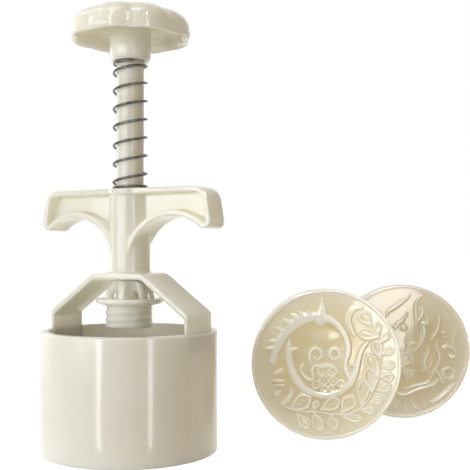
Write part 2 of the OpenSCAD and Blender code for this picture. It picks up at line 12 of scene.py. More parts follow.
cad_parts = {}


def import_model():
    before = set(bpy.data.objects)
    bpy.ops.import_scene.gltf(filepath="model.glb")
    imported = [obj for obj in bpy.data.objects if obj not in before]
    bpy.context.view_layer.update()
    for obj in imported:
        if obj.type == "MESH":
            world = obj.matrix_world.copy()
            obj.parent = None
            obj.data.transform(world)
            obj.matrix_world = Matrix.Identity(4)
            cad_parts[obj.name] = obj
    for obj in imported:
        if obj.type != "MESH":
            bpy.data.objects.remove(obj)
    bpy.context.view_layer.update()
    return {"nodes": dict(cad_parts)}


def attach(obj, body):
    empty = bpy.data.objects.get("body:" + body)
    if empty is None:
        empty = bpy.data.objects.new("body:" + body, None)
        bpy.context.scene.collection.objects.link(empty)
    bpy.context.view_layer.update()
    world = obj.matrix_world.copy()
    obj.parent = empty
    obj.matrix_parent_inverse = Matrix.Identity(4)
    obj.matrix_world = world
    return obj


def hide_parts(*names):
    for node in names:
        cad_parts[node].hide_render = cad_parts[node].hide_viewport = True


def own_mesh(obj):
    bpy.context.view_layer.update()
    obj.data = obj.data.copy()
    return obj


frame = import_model()

MM = 0.001
VIEW_TURN = math.radians(28)    # the camera stands on the -Y side, turned by this towards +X
TO_CAMERA = np.array([math.sin(VIEW_TURN), -math.cos(VIEW_TURN), 0.0])
TO_RIGHT = np.array([math.cos(VIEW_TURN), math.sin(VIEW_TURN), 0.0])


# ---------- mesh tools ----------

def angles(around):
    """Evenly spaced angles of one turn."""
    return np.arange(around) * 2 * math.pi / around


def hoop(a, r, z):
    """Points at the angles a; radius and height are one number or one per angle."""
    return np.stack([r * np.cos(a), r * np.sin(a), z + 0 * a], 1)


def grid_quads(rows, around, loop=False):
    """Faces between hoops of points that close on themselves; loop also joins the last hoop to the first."""
    k = np.arange(around)
    m = (k + 1) % around
    faces = []
    for i in range(rows if loop else rows - 1):
        a, b = i * around, ((i + 1) % rows) * around
        faces.append(np.stack([a + k, a + m, b + m, b + k], 1))
    return np.concatenate(faces)


def arc_corners(corners, steps=6, closed=False):
    """Outline of corners (x, y, radius) with an arc at each corner that has a radius."""
    n, out = len(corners), []
    for i, (x, y, r) in enumerate(corners):
        if r <= 0 or (not closed and i in (0, n - 1)):
            out.append((x, y))
            continue
        b = np.array([x, y], float)
        u = np.array(corners[i - 1][:2], float) - b
        v = np.array(corners[(i + 1) % n][:2], float) - b
        u, v = u / np.linalg.norm(u), v / np.linalg.norm(v)
        half = math.acos(max(-1.0, min(1.0, float(u @ v)))) / 2
        mid = (u + v) / np.linalg.norm(u + v)
        centre = b + mid * r / math.sin(half)
        start, sweep = math.atan2(-mid[1], -mid[0]), math.pi / 2 - half
        side = math.copysign(1, u[0] * v[1] - u[1] * v[0])
        for k in range(steps + 1):
            t = start + side * sweep * (1 - 2 * k / steps)
            out.append((centre[0] + r * math.cos(t), centre[1] + r * math.sin(t)))
    return out


def revolve(profile, around):
    """A profile of (radius, height) turned about Z."""
    a = angles(around)
    return np.concatenate([hoop(a, r, z) for r, z in profile]), grid_quads(len(profile), around)


def turned(part, angle):
    """A part, (points, faces), turned about Z."""
    (x, y, z), faces = part[0].T, part[1]
    c, s = math.cos(angle), math.sin(angle)
    return np.stack([x * c - y * s, x * s + y * c, z], 1), faces


def extrude(outline, thick):
    """A closed outline in X and Z, as thick as given along Y, with n-gon ends."""
    p = np.array(outline, float)
    n = len(p)
    verts = [(x, s * thick / 2, z) for s in (-1, 1) for x, z in p]
    k = np.arange(n)
    m = (k + 1) % n
    sides = np.stack([k, m, m + n, k + n], 1).tolist()
    return np.array(verts), sides + [list(range(n)), list(range(2 * n - 1, n - 1, -1))]


def mesh_of(parts):
    """One mesh in millimetres from (points, faces) pairs."""
    verts, faces = [], []
    for v, f in parts:
        base = len(verts)
        verts += np.asarray(v, float).tolist()
        faces += [[int(i) + base for i in face] for face in f]
    mesh = bpy.data.meshes.new("work")
    mesh.from_pydata(verts, [], faces)
    bm = bmesh.new()
    bm.from_mesh(mesh)
    bmesh.ops.remove_doubles(bm, verts=bm.verts, dist=1e-5)
    bmesh.ops.dissolve_degenerate(bm, edges=bm.edges, dist=1e-6)
    bmesh.ops.recalc_face_normals(bm, faces=bm.faces)
    bm.to_mesh(mesh)
    bm.free()
    return mesh


def cad_copy(node):
    """A welded copy of a CAD node's mesh, in millimetres."""
    mesh = frame["nodes"][node].data.copy()
    mesh.transform(Matrix.Scale(1 / MM, 4))
    mesh.materials.clear()
    bm = bmesh.new()
    bm.from_mesh(mesh)
    bmesh.ops.remove_doubles(bm, verts=bm.verts, dist=1e-4)
    bm.to_mesh(mesh)
    bm.free()
    return mesh


def add(name, data):
    """A new object in the scene."""
    obj = bpy.data.objects.new(name, data)
    bpy.context.scene.collection.objects.link(obj)
    return obj


def eased(mesh, voxel, rounds):
    """One even skin over a mesh, with its edges rounded as a mould leaves them."""
    obj = add("work", mesh)
    skin = obj.modifiers.new("skin", "REMESH")
    skin.mode = "VOXEL"
    skin.voxel_size = voxel
    ease = obj.modifiers.new("ease", "SMOOTH")
    ease.factor = 0.5
    ease.iterations = rounds
    depsgraph = bpy.context.evaluated_depsgraph_get()
    made = bpy.data.meshes.new_from_object(obj.evaluated_get(depsgraph))
    bpy.data.objects.remove(obj)
    return made


def piece(name, mesh, node, body, material, sharp=None):
    """Puts a mesh in millimetres in the scene as the piece that stands for a CAD node."""
    mesh.transform(Matrix.Scale(MM, 4))
    mesh.name = name
    mesh.materials.clear()
    mesh.materials.append(material)
    mesh.shade_smooth()
    if sharp:
        mesh.set_sharp_from_angle(angle=math.radians(sharp))
    obj = add(name, mesh)
    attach(obj, body)
    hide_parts(node)
    return obj


# ---------- materials ----------

def nodes_of(name):
    """A new material, its tree and its shader."""
    material = bpy.data.materials.new(name)
    material.use_nodes = True
    tree = material.node_tree
    return material, tree, tree.nodes["Principled BSDF"]


def feed(tree, made, inputs):
    """Fills a node's inputs: each gets a plain value, or a link where the value is a socket."""
    for key, value in inputs.items():
        if isinstance(value, bpy.types.NodeSocket):
            tree.links.new(value, made.inputs[key])
        else:
            made.inputs[key].default_value = value
    return made


def node(tree, kind, inputs, operation=None):
    """A new shader node with its inputs filled."""
    made = tree.nodes.new("ShaderNode" + kind)
    if operation:
        made.operation = operation
    return feed(tree, made, inputs)


def noise(tree, scale, detail, stretch=(1, 1, 1)):
    """Noise in the object's own metres: at a scale of 1000 its grains are about a millimetre."""
    coords = node(tree, "TexCoord", {}).outputs["Object"]
    mapped = node(tree, "Mapping", {"Vector": coords, "Scale": stretch}).outputs["Vector"]
    return node(tree, "TexNoise", {"Vector": mapped, "Scale": scale, "Detail": detail}).outputs["Fac"]


def ramp(tree, value, low, high, a, b):
    """Colours a and b at the values low and high."""
    made = node(tree, "ValToRGB", {"Fac": value})
    for end, position, colour in zip(made.color_ramp.elements, (low, high), (a, b)):
        end.position, end.color = position, (*colour, 1)
    return made.outputs["Color"]


def spread(tree, value, low, high, start=0, end=1):
    """A value from start to end, spread between low and high."""
    return node(tree, "MapRange", {"Value": value, "From Min": start, "From Max": end,
                                   "To Min": low, "To Max": high}).outputs["Result"]


def most(tree, a, b):
    """The larger of two values."""
    return node(tree, "Math", {0: a, 1: b}, "MAXIMUM").outputs[0]


def blend(tree, factor, a, b):
    """Colour a at factor 0 and b at factor 1."""
    made = tree.nodes.new("ShaderNodeMix")
    made.data_type = "RGBA"
    return feed(tree, made, {"Factor": factor, "A": a, "B": b}).outputs["Result"]


def bump(tree, height, depth, after=None):
    """A bump of a real depth in metres, on top of another one if given."""
    inputs = {"Strength": 1.0, "Distance": depth, "Height": height}
    if after is not None:
        inputs["Normal"] = after
    return node(tree, "Bump", inputs).outputs["Normal"]


def plastic(name, light, warm, rough, depth, wave=0.00006, coat=0.4):
    """Moulded plastic: cloudy ivory that lets light in to a depth, with flow waves and a fine skin."""
    material, tree, shader = nodes_of(name)
    waves = bump(tree, noise(tree, 75, 2), wave)
    feed(tree, shader, {
        "Base Color": ramp(tree, noise(tree, 24, 3), 0.3, 0.72, light, warm),
        "Roughness": spread(tree, noise(tree, 420, 4), rough * 0.8, rough * 1.25),
        "Normal": bump(tree, noise(tree, 1500, 2), 0.000004, waves),
        "IOR": 1.49,
        "Specular IOR Level": 0.3,
        "Subsurface Weight": 1.0,
        "Subsurface Radius": (1.0, 0.97, 0.9),
        "Subsurface Scale": depth,
        "Coat Weight": coat,
        "Coat Roughness": 0.05})
    return material


def steel(name, light, dark, rough, lines=(1, 1, 1)):
    """Drawn steel: uneven tone and fine lines."""
    material, tree, shader = nodes_of(name)
    grain = noise(tree, 1400, 3, lines)
    feed(tree, shader, {
        "Base Color": ramp(tree, noise(tree, 160, 5, lines), 0.35, 0.7, light, dark),
        "Roughness": spread(tree, grain, rough * 0.7, rough * 1.4),
        "Normal": bump(tree, grain, 0.00002),
        "Metallic": 1.0})
    return material


IVORY = plastic("ivory_plastic", (0.94, 0.92, 0.82), (0.92, 0.89, 0.755), 0.2, 0.005)
# painted light: a lighter copy of the ivory plastic for the coupling, standing in for the light it catches through
# and off the press
LIT_IVORY = plastic("ivory_plastic_painted_lighter", (0.97, 0.95, 0.86), (0.95, 0.92, 0.79), 0.18, 0.005)
PALE = plastic("pale_plastic", (0.87, 0.865, 0.825), (0.84, 0.825, 0.76), 0.22, 0.004, coat=0.2)
SPRING_STEEL = steel("spring_steel", (0.13, 0.125, 0.115), (0.06, 0.057, 0.052), 0.25)
SCREW_STEEL = steel("screw_steel", (0.62, 0.62, 0.63), (0.45, 0.45, 0.46), 0.3, (1, 1, 8))


# ---------- barrel ----------

BORE_R, BARREL_R, BARREL_H = 37.0, 41.0, 55.5
POCKET_R, POCKET_Y, POCKET_Z = 39.43, 11.03, 47.5    # a foot's pocket: back wall, half width, floor
POCKET_STEP = 0.0004    # angle over which the bore steps back to a pocket


def barrel_mesh():
    """Open tube with soft rims and two pockets that take the feet of the handle."""
    def profile(top_r):
        corners = [(BORE_R, POCKET_Z - 0.2, 0), (top_r, POCKET_Z, 0), (top_r, BARREL_H - 0.25, 0),
                   (top_r + 0.35, BARREL_H, 0.2), (BARREL_R, BARREL_H, 1.1), (BARREL_R, 0, 0.6), (BORE_R, 0, 0.5)]
        return arc_corners(corners, 8, closed=True)
    plain, pocket = profile(BORE_R), profile(POCKET_R)
    edge = math.asin(POCKET_Y / POCKET_R)
    columns = []
    for side in (0, math.pi):
        inside = np.linspace(side - edge, side + edge, 40)
        outside = np.linspace(side + edge, side + math.pi - edge, 170)
        outside[0] += POCKET_STEP
        outside[-1] -= POCKET_STEP
        columns += [(a, pocket) for a in inside] + [(a, plain) for a in outside]
    verts = [(p[i][0] * math.cos(a), p[i][0] * math.sin(a), p[i][1])
             for i in range(len(plain)) for a, p in columns]
    return mesh_of([(verts, grid_quads(len(plain), len(columns), loop=True))])


piece("barrel_tube", barrel_mesh(), "barrel", "press_body", PALE, sharp=40)


# ---------- handle frame ----------

piece("handle_moulding", eased(cad_copy("handle_frame"), 0.36, 11), "handle_frame", "press_body",
      IVORY)


# ---------- knob ----------

KNOB_R, KNOB_Z, KNOB_H, KNOB_WALL = 28.8, 190.9, 15.5, 2.6
BOSS_R, BOSS_Z, BOSS_DRAW, BOSS_EASE = 9.65, 181.0, 1.5, 4.5
SOCKET_R, SOCKET_H = 6.43, 15


def knob_mesh():
    """Eight-lobed dome with a soft lower edge, an open hollow and the boss that holds the rod."""
    crown, draft, lip, fillet = 0.3, 0.05, 1.2, 4.0
    lobes, turn, groove = 8, math.radians(13), 1.9

    def dome(t):
        """Radius at a share t of the knob's height."""
        k = max(0.0, t - crown) / (1 - crown)
        return KNOB_R * (1 - draft * t) * max(0.0, 1 - k ** 2.6) ** (1 / 2.3)

    def fade(r):
        """Depth of the grooves at a radius: none in the middle, full near the edge."""
        k = min(1.0, max(0.0, (r - 3) / (0.7 * KNOB_R - 3)))
        return k * k * (3 - 2 * k)

    crown_steps = [crown + (1 - crown) * (1 - (1 - k) ** 1.6) for k in np.linspace(0, 1, 64)]
    # rows of radius, height and depth of the grooves: outside, from the top down
    rows = [(dome(t), KNOB_Z + KNOB_H * t, fade(dome(t))) for t in crown_steps[::-1]]
    rows += [(dome(t), KNOB_Z + KNOB_H * t, 1.0) for t in np.linspace(crown, 0.18, 6)[1:]]
    # lower edge
    for a in np.radians(np.linspace(8, 90, 12)):
        rows.append((dome(0.09) - lip * (1 - math.cos(a)), KNOB_Z + 2.2 * lip * (1 - math.sin(a)), 1.0))
    for a in np.radians(np.linspace(80, 0, 7)):
        rows.append((dome(0) - KNOB_WALL + (KNOB_WALL - lip - 0.2) * math.sin(a) * 0.9,
                     KNOB_Z + 0.9 * (1 - math.sin(a)), 1.0))
    # inside of the dome and the fillet to the boss
    height = KNOB_H - KNOB_WALL
    for r, t in ((dome(t) - KNOB_WALL, t) for t in crown_steps[::2]):
        if r > BOSS_R + 0.8 * fillet:
            rows.append((r, KNOB_Z + height * t, fade(r)))
    for a in np.radians(np.linspace(70, 0, 9)):
        rows.append((BOSS_R + fillet * (1 - math.cos(a)),
                     KNOB_Z + height - fillet + fillet * math.sin(a) * 0.94, 0.0))
    # boss, drawn in at its foot, and the socket for the rod
    for a in np.radians(np.linspace(90, 0, 13)):
        rows.append((BOSS_R - BOSS_DRAW * (1 - math.sin(a)), BOSS_Z + BOSS_EASE * (1 - math.cos(a)), 0.0))
    rows += [(SOCKET_R + 0.4, BOSS_Z, 0.0), (SOCKET_R, BOSS_Z + 0.4, 0.0),
             (SOCKET_R, BOSS_Z + SOCKET_H, 0.0), (0.0, BOSS_Z + SOCKET_H, 0.0)]
    around = 480
    a = angles(around)
    lobe = np.sqrt(np.cos(lobes / 2 * (a - turn)) ** 2 + 0.03)
    cut = groove * np.clip(1.12 - lobe, 0, 1) ** 1.5
    verts = np.concatenate([hoop(a, np.maximum(0.0, r - cut * deep), z) for r, z, deep in rows])
    return mesh_of([(verts, grid_quads(len(rows), around))])


piece("palm_knob", knob_mesh(), "knob", "plunger", IVORY, sharp=50)


# ---------- plunger rod ----------

ROD_R, ROD_TOP, SHOULDER_Z = 6.4, 196, 78.7
TENON_R, TENON_Z, PILOT_R = 4.0, 67.7, 1.63


def rod_mesh():
    """Round rod with a stepped tenon below and the screw's pilot hole in it."""
    return mesh_of([revolve(arc_corners([
        (0, SHOULDER_Z, 0), (PILOT_R, SHOULDER_Z, 0), (PILOT_R, TENON_Z, 0.2), (TENON_R, TENON_Z, 0.4),
        (TENON_R, SHOULDER_Z, 0), (ROD_R, SHOULDER_Z, 0.4), (ROD_R, ROD_TOP, 0.9), (0, ROD_TOP, 0)]), 128)])


piece("guide_rod", rod_mesh(), "plunger_rod", "plunger", PALE, sharp=50)


# ---------- spring ----------

WIRE_R, COIL_R = 0.575, 7.625


def spring_mesh():
    """Right-hand coil with closed ends, one round wire."""
    seat, length, start = 121.05, 59.9, math.radians(209)
    end_turns, open_turns, end_pitch, steps, sides = 0.9, 6.5, 1.75, 72, 16
    open_pitch = (length - 2 * WIRE_R - 2 * end_turns * end_pitch) / open_turns
    turns = open_turns + 2 * end_turns
    t = np.linspace(0, turns, int(turns * steps) + 1)
    edge = np.minimum(t - end_turns, turns - end_turns - t)
    climb = end_pitch + (open_pitch - end_pitch) * np.clip(edge / 0.25 + 0.5, 0, 1)
    z = np.concatenate([[0], np.cumsum((climb[1:] + climb[:-1]) / 2 * np.diff(t))])
    z = seat + WIRE_R + z * (length - 2 * WIRE_R) / z[-1]
    a = start + 2 * math.pi * t
    path = np.stack([COIL_R * np.cos(a), COIL_R * np.sin(a), z], 1)
    along = np.gradient(path, axis=0)
    along /= np.linalg.norm(along, axis=1)[:, None]
    out = np.stack([np.cos(a), np.sin(a), 0 * a], 1)
    up = np.cross(along, out)
    k = angles(sides)[None, :, None]
    wire = path[:, None] + WIRE_R * (np.cos(k) * out[:, None] + np.sin(k) * up[:, None])
    verts = np.concatenate([path[:1].repeat(sides, 0) - 0.05 * along[0], wire.reshape(-1, 3),
                            path[-1:].repeat(sides, 0) + 0.05 * along[-1]])
    return mesh_of([(verts, grid_quads(len(path) + 2, sides))])


spring = piece("return_coil", spring_mesh(), "spring", "return_spring", SPRING_STEEL)
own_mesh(spring)


# ---------- coupling and its screw ----------

SPIGOT_Z, SPIGOT_R, SPIGOT_BORE, FLANGE_Z, FLANGE_R = 56.8, 11.3, 7.5, 70.2, 15.55
HEAD_SEAT_Z, RIBS, RIB_TURN = 64.7, 7, 28


def coupling_mesh():
    """Hub, flange and threaded spigot, with seven arched ribs that lean on the hub."""
    top, depth, pitch, around = 66.5, 0.75, 3.23, 288
    a = angles(around)
    # the ridges run out on the side that the thread starts on
    faint = np.clip(1.15 * np.exp(-((np.degrees(a) - RIB_TURN + 180) % 360 - 180) ** 2 / 900), 0, 1)
    rows = [hoop(a, SPIGOT_BORE, SPIGOT_Z), hoop(a, SPIGOT_R - 0.9, SPIGOT_Z)]
    for z in np.linspace(SPIGOT_Z, top, 60):
        phase = (z - SPIGOT_Z) / pitch - a / (2 * math.pi)
        ridge = np.clip(1.35 * (0.5 + 0.5 * np.cos(2 * math.pi * (phase - 0.5))), 0, 1)
        edge = min(1.0, (z - SPIGOT_Z) / 0.5, (top - z) / 0.7 + 0.2)
        rows.append(hoop(a, SPIGOT_R - depth * (1 - ridge * edge * (1 - 0.8 * faint)), z))
    bore = TENON_R + 0.03
    rows += [hoop(a, r, z) for r, z in arc_corners([
        (10.6, 66.6, 0), (FLANGE_R, 68.1, 0.6), (FLANGE_R, FLANGE_Z, 0.8), (ROD_R, FLANGE_Z, 0.8),
        (ROD_R, SHOULDER_Z, 0.4), (bore, SHOULDER_Z, 0), (bore, TENON_Z, 0), (PILOT_R, TENON_Z, 0),
        (PILOT_R, HEAD_SEAT_Z, 0), (SPIGOT_BORE, HEAD_SEAT_Z, 0)], 5)]
    root, foot, rib_h, arch_w, arch_h, thick, sunk = 5.4, 11.4, 8.3, 2.9, 3.6, 2.2, 1
    quarter = np.linspace(0, math.pi / 2, 19)
    outline = [(foot, FLANGE_Z - sunk)]
    outline += [(root + (foot - root) * math.cos(t), FLANGE_Z + rib_h * math.sin(t)) for t in quarter]
    outline += [(root, FLANGE_Z + arch_h)]
    outline += [(ROD_R + arch_w * math.cos(t), FLANGE_Z + arch_h * math.sin(t)) for t in quarter[::-1]]
    outline += [(ROD_R + arch_w, FLANGE_Z - sunk)]
    ribs = [turned(extrude(outline, thick), math.radians(RIB_TURN + 360 / RIBS * k)) for k in range(RIBS)]
    return eased(mesh_of([(np.concatenate(rows), grid_quads(len(rows), around, loop=True))] + ribs), 0.2, 4)


def screw_mesh():
    """Pan head with a cross recess, and a shank."""
    around, head_r, head_z, recess, arm_l, arm_w = 96, 3.0, 62.5, 1.1, 1.9, 0.28
    a = angles(around)
    rows = []
    for r in np.linspace(0, head_r, 22):
        x, y = np.abs(r * np.cos(a)), np.abs(r * np.sin(a))
        past_end = np.minimum(np.maximum(x, y) / arm_l, 1) ** 6
        past_side = np.clip((np.minimum(x, y) - arm_w) / 0.25, 0, 1)
        rows.append(hoop(a, r, head_z + 0.35 * (r / head_r) ** 4 + recess * (1 - np.maximum(past_side, past_end))))
    rows += [hoop(a, r, z) for r, z in arc_corners([
        (3.1, 62.9, 0), (3.3, 63.3, 0.2), (3.3, HEAD_SEAT_Z, 0), (1.6, HEAD_SEAT_Z, 0.1), (1.6, 77.2, 0.4),
        (0, 77.7, 0)], 5)]
    return mesh_of([(np.concatenate(rows), grid_quads(len(rows), around))])


# the coupling wears the lighter ivory copy, which is painted light
piece("screw_coupling", coupling_mesh(), "coupling", "plunger", LIT_IVORY)
piece("fixing_screw", screw_mesh(), "coupling_screw", "plunger", SCREW_STEEL, sharp=40)


# ---------- stamps ----------

STAMP_R, FIELD_R, RELIEF = 36.7, 35.0, 1.25
PLATE_T, STAMP_T, WALL_T, SOCKET_WALL_R, STAMP_SOCKET_R, STAMP_RIBS = 3, 12.8, 2, 14.9, 11.5, 6
CARP_AT, DRAGON_AT = (94.0, 20.0), (142.3, 76.0)    # right of the press's axis and behind it, to the field
CELLS = 600    # the relief's grid, each way


class Relief:
    """Height of a stamp's face, 0 to 1, drawn in hundredths of the stamp's radius."""

    def __init__(self):
        self.h = np.zeros((CELLS, CELLS))
        self.u = (np.arange(CELLS) + 0.5) / CELLS * 200 - 100

    def window(self, x, y, w):
        """The part of the grid within w of a point."""
        lo = [max(0, int((v - w + 100) / 200 * CELLS)) for v in (x, y)]
        hi = [min(CELLS, int((v + w + 100) / 200 * CELLS) + 2) for v in (x, y)]
        return slice(lo[1], hi[1]), slice(lo[0], hi[0])

    def ridge(self, points, high=1.0, crisp=1.9):
        """A rounded ridge along a smooth curve through (x, y, half width)."""
        p = np.array(points, float)
        p = np.vstack([2 * p[0] - p[1], p, 2 * p[-1] - p[-2]])
        for i in range(1, len(p) - 2):
            n = max(2, int(np.linalg.norm(p[i + 1, :2] - p[i, :2]) / 0.45))
            for t in np.arange(n) / n:
                x, y, w = 0.5 * (2 * p[i] + (p[i + 1] - p[i - 1]) * t
                                 + (2 * p[i - 1] - 5 * p[i] + 4 * p[i + 1] - p[i + 2]) * t * t
                                 + (3 * p[i] - p[i - 1] - 3 * p[i + 1] + p[i + 2]) * t ** 3)
                self.dab(x, y, max(0.4, w), high, crisp)

    def dab(self, x, y, w, high=1.0, crisp=1.9):
        """A round knob; a crisp one has steep flanks and a flat top."""
        rows, cols = self.window(x, y, w)
        d = ((self.u[cols][None, :] - x) / w) ** 2 + ((self.u[rows][:, None] - y) / w) ** 2
        top = high * np.minimum(1, crisp * 0.6 * np.clip(1 - d, 0, 1)) ** 0.6
        self.h[rows, cols] = np.maximum(self.h[rows, cols], top)

    def ring(self, x, y, r, w, high=1.0):
        a = np.radians(np.linspace(0, 360, 13))
        self.ridge([(x + r * c, y + r * s, w) for c, s in zip(np.cos(a), np.sin(a))], high)

    def leaf(self, x0, y0, x1, y1, half, rim=1.9):
        """An outlined leaf, pointed at (x0, y0) and round at (x1, y1), with a soft body and a vein."""
        root, along = np.array([x0, y0], float), np.array([x1 - x0, y1 - y0], float)
        side = np.array([-along[1], along[0]]) / np.linalg.norm(along)

        def width(t):
            return half * math.sin(math.pi * t ** 1.5) ** 0.8 if 0 < t < 1 else 0

        for s in (-1, 1):
            self.ridge([(*(root + along * t + side * s * width(t)), rim) for t in np.linspace(0, 1, 11)], 0.95)
        for t in np.linspace(0.25, 0.85, 9):
            self.dab(*(root + along * t), max(1.0, width(t) - rim), 0.5, 1.2)
        self.ridge([(*(root + along * t), 0.7) for t in (0.2, 0.45, 0.7)], 0.72)

    def swell(self, x, y, rx, ry, high):
        """A broad soft swelling added under everything."""
        d = ((self.u[None, :] - x) / rx) ** 2 + ((self.u[:, None] - y) / ry) ** 2
        self.h += high * np.clip(1 - d, 0, 1) ** 2

    def soften(self, sigma):
        """Blurs the heights, sigma in cells."""
        k = np.exp(-0.5 * (np.arange(-6, 7) / sigma) ** 2)
        k /= k.sum()
        for axis in (0, 1):
            self.h = np.apply_along_axis(lambda v: np.convolve(v, k, "same"), axis, self.h)

    def at(self, x, y):
        """Heights at points in hundredths of the radius."""
        gx, gy = ((np.clip(v, -99, 99) + 100) / 200 * CELLS - 0.5 for v in (x, y))
        ix, iy = gx.astype(int), gy.astype(int)
        fx, fy = gx - ix, gy - iy
        h = self.h
        return ((h[iy, ix] * (1 - fx) + h[iy, ix + 1] * fx) * (1 - fy)
                + (h[iy + 1, ix] * (1 - fx) + h[iy + 1, ix + 1] * fx) * fy)


def carp_relief():
    """A carp curled round on itself, with a leaf spray round the lower right."""
    r = Relief()
    # back and side of the fish, with the saw-toothed fin and the tail
    r.ridge([(25, 2, 3), (29, 20, 4.4), (26, 36, 4.6), (19, 48, 4.6), (8, 58, 5), (-7, 63, 6), (-23, 62.5, 7),
             (-38, 56, 7.6), (-51, 46, 7.6), (-61, 33, 7.4), (-68, 19, 7), (-71, 4, 5.4)])
    r.ridge([(-7, 60, 9), (-5, 70, 6.2), (-4.5, 79, 3.4), (-6, 87, 1)])
    for x0, y0, x1, y1 in ((-20, 64, -26, 72), (-31, 62, -38, 70), (-37, 60, -46, 66), (-47, 54, -58, 60),
                           (-56, 44, -67, 48), (-65, 30, -77, 31), (-68, 22, -82, 21), (-71, 8, -77, 3)):
        r.ridge([(x0, y0, 5), ((x0 + x1) / 2, (y0 + y1) / 2, 3.4), (x1, y1, 0.8)])
    # belly
    r.ridge([(-49, 33, 1.4), (-50, 21, 4.4), (-49, 5, 5.4), (-45, -11, 5.8), (-36, -26, 5.8), (-23, -36, 5.4),
             (-7, -41, 4.8), (9, -40, 4.6), (24, -33, 5), (34, -22, 5.4), (39, -8, 4.8), (43, 7, 3.8), (48, 21, 3.4),
             (56, 30, 2.2)])
    r.ridge([(-49, 19, 4), (-43, 20.5, 2.4), (-38, 21, 0.7)])
    r.ridge([(26, 8, 3), (25.5, -6, 3), (31, -20, 3.4)])
    r.ring(33.5, -7, 5.4, 1.4, 0.9)
    # head: brow, eye, barbel and lips
    r.swell(-3, 8, 44, 44, 0.3)
    r.swell(-8, 39, 27, 11, 0.35)
    r.ring(11, 14, 6.9, 2.3)
    r.ridge([(-21, 1, 1.4), (-23, 10, 2.3), (-20.6, 18, 2.4), (-14, 21.5, 2.4), (-7.8, 17.6, 2.3), (-6.8, 11, 2),
             (-11.5, 6.4, 1.7), (-16, 7.6, 1.3), (-17, 11.4, 1)])
    r.ridge([(-15, -1.5, 1.8), (-5, -1.5, 3.6), (6, -1.5, 3), (12, -5, 1.8), (14, -11, 1.6)])
    r.ridge([(-30, 1, 1), (-34, -6, 1.8), (-31, -14, 2), (-24, -20, 2), (-17, -18, 1.8), (-19, -8, 2),
             (-16, -1, 1.6)])
    for x, y, s in ((-8, -9, 5), (6.5, -10, 5.4), (-3.6, -21, 5.6), (9, -22, 5.4), (19, -26, 4.6), (-14, -27, 5),
                    (-3, -32, 4), (6, -32, 3.6)):
        r.ring(x, y, s, 1.5, 0.85)
        r.dab(x, y - 0.5, s * 0.6, 0.45, 1.2)
    # fin rays on the left
    r.ridge([(-60, -8, 2.8), (-66, -11, 3), (-72, -14, 1)])
    r.ridge([(-71, -22.5, 1.4), (-63, -22.3, 1.8), (-56, -22, 1.2)])
    r.ridge([(-71, -27.5, 1.4), (-63, -27.2, 1.8), (-56, -27, 1.2)])
    r.ridge([(-69, -42, 1.6), (-66, -39, 3.8), (-61, -36, 1.4)])
    r.ridge([(-49, -31, 1), (-47, -39, 3.4), (-52, -47, 4.2), (-58, -52, 3), (-62, -54, 1)])
    # leaf spray
    r.ridge([(48, 76, 2), (36, 73, 4), (29, 61, 4.6), (32, 49, 4.4), (38, 38, 2)], 0.6)
    r.ridge([(-56, -57, 0.8), (-36, -62, 1.4), (-13, -63, 1.5), (9, -66, 1.5), (26, -66, 1.5), (42, -60, 1.5),
             (55, -47, 1.5), (64, -31, 1.5), (69.5, -14, 1.5), (72, 5, 1.5), (72, 24, 1.4), (69, 40, 1.3),
             (62, 53, 1)])
    for x0, y0, x1, y1, half in (
            (-48, -60, -22, -44, 9), (-17, -60, -13, -49, 3.6), (-7, -60, 17, -47, 7.4), (20, -64, 35, -43, 8.4),
            (46, -54, 51, -21, 7.4), (61, -37, 55, -5, 7), (68, -16, 55, 13, 7), (72, 9, 65, 31, 6),
            (69, 37, 42, 43, 7), (59, 53, 46, 69, 7),
            (-39, -65, -25, -84, 6.6), (-17, -64, -8, -88, 6.6), (5, -66, 12, -86, 5.4), (22, -70, 46, -72, 4.2),
            (45, -60, 64, -62, 4.2), (57, -50, 75, -46, 4.2), (68, -34, 85, -29, 4.6), (72, -17, 88, -17, 4.6),
            (75, -3, 90, 0, 4.2), (75, 14, 89, 20, 4.2), (73, 30, 83, 42, 4), (70, 43, 67, 56, 4.2)):
        r.leaf(x0, y0, x1, y1, half)
    r.soften(1.0)
    return r


